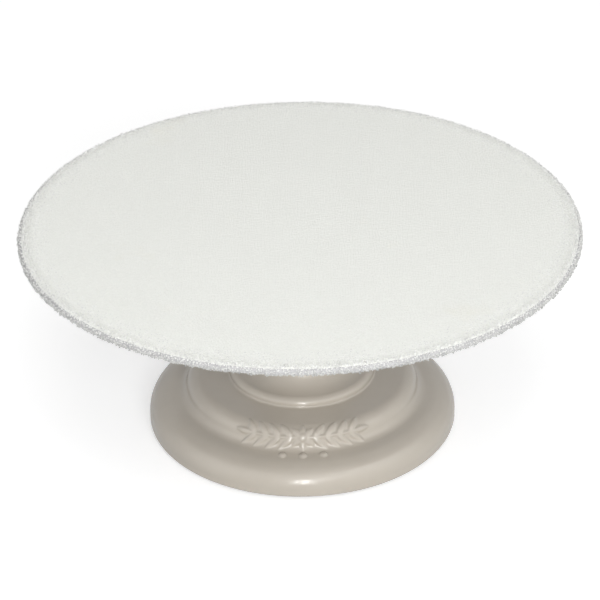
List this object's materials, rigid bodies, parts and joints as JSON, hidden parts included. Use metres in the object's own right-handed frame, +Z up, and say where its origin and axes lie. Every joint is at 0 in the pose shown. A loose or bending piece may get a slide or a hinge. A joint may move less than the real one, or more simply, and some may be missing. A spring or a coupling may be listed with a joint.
{
  "type": "cake turntable",
  "caption": "Round cake-decorating turntable: a padded plate turning on ball bearings in a stepped cast-iron pedestal, with a loose non-slip pad.",
  "frame": {"origin": "on the turning axis, at the level of the rubber feet's undersides", "axes": "+Z up along the turning axis; the raised ornament on the pedestal faces -Y"},
  "size_m": [0.31, 0.31, 0.1245],
  "materials": {
    "enamelled_iron": "glossy warm-grey enamel over cast iron",
    "zinc_steel": "zinc plated, satin",
    "bearing_steel": "ground and polished",
    "spindle_steel": "turned and ground",
    "black_steel": "black oxide",
    "plate_aluminium": "turned, satin",
    "hub_aluminium": "cast and turned",
    "rubber": "matte moulded rubber",
    "nylon": "moulded nylon",
    "pad_foam": "matte granular foam, off white"
  },
  "bodies": {
    "base": {"base_casting": "enamelled_iron", "bearing_cap": "zinc_steel", "rubber_foot_1": "rubber", "rubber_foot_2": "rubber", "rubber_foot_3": "rubber", "rubber_foot_4": "rubber", "upper_outer_race": "bearing_steel", "lower_outer_race": "bearing_steel", "upper_shields": "zinc_steel", "lower_shields": "zinc_steel"},
    "table": {"turntable_plate": "plate_aluminium", "hub": "hub_aluminium", "spindle": "spindle_steel", "plate_screws": "zinc_steel", "hub_set_screw": "black_steel", "upper_inner_race": "bearing_steel", "lower_inner_race": "bearing_steel", "spacer_sleeve": "spindle_steel", "thrust_washer": "zinc_steel", "retaining_ring": "black_steel"},
    "upper_ball_set": {"upper_balls": "bearing_steel", "upper_cage": "nylon"},
    "lower_ball_set": {"lower_balls": "bearing_steel", "lower_cage": "nylon"},
    "pad": {"non_slip_pad": "pad_foam"}
  },
  "joints": [
    {"name": "table_spin", "type": "hinge", "parent": "base", "child": "table", "pos_m": [0, 0, 0.1], "axis": [0, 0, 1], "continuous": true},
    {"name": "upper_cage_spin", "type": "hinge", "parent": "base", "child": "upper_ball_set", "pos_m": [0, 0, 0.0975], "axis": [0, 0, 1], "continuous": true},
    {"name": "lower_cage_spin", "type": "hinge", "parent": "base", "child": "lower_ball_set", "pos_m": [0, 0, 0.0315], "axis": [0, 0, 1], "continuous": true},
    {"name": "pad_lift", "type": "slide", "parent": "table", "child": "pad", "axis": [0, 0, 1], "range_m": [0, 0.05]}
  ],
  "couplings": [
    {"joint": "upper_cage_spin", "follows": "table_spin", "ratio": 0.381},
    {"joint": "lower_cage_spin", "follows": "table_spin", "ratio": 0.381}
  ]
}
